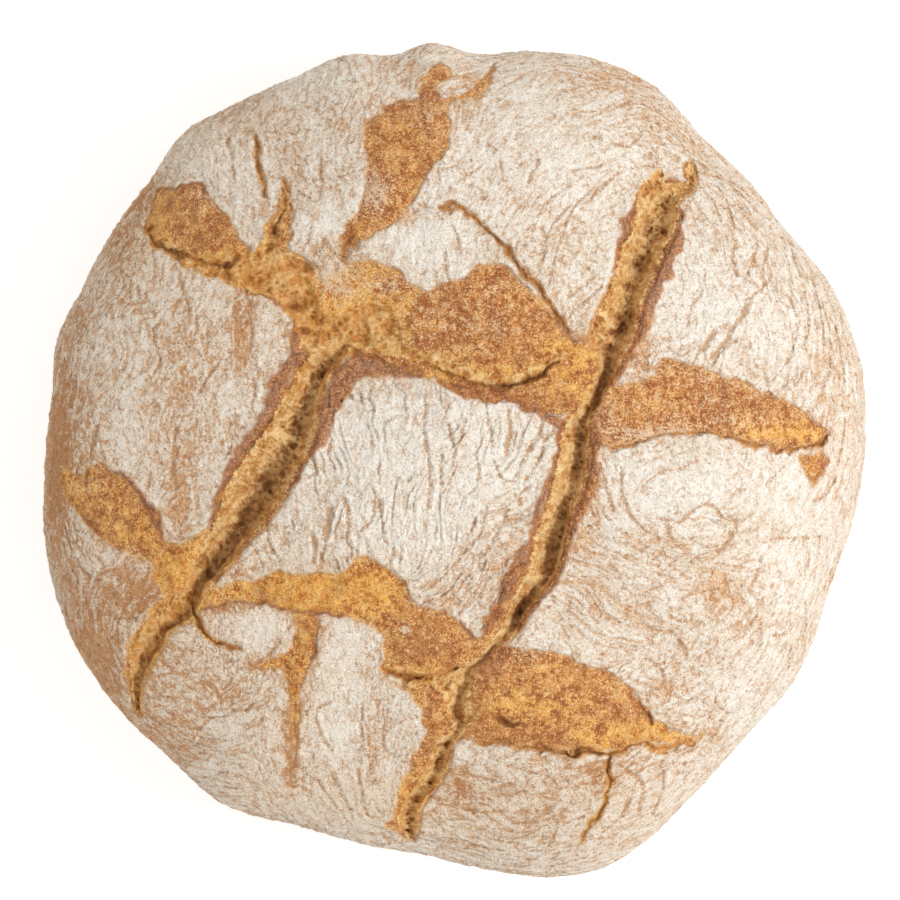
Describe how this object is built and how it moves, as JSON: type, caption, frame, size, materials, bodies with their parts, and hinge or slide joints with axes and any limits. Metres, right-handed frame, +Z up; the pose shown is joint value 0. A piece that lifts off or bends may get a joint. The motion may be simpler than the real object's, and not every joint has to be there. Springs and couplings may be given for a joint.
{
  "type": "sourdough loaf",
  "caption": "Round rustic hearth loaf of sourdough with a floured, cracked crust, torn-open cuts, browned bare fields and a flat foot to stand on.",
  "frame": {"origin": "middle of the loaf's box, on the flat foot it stands on", "axes": "+Z up out of the crown; seen from above, +X is the picture's right and +Y its top"},
  "size_m": [0.258, 0.2622, 0.0955],
  "materials": {
    "crust": "matte"
  },
  "bodies": {
    "root": {"loaf": "crust"}
  },
  "joints": []
}
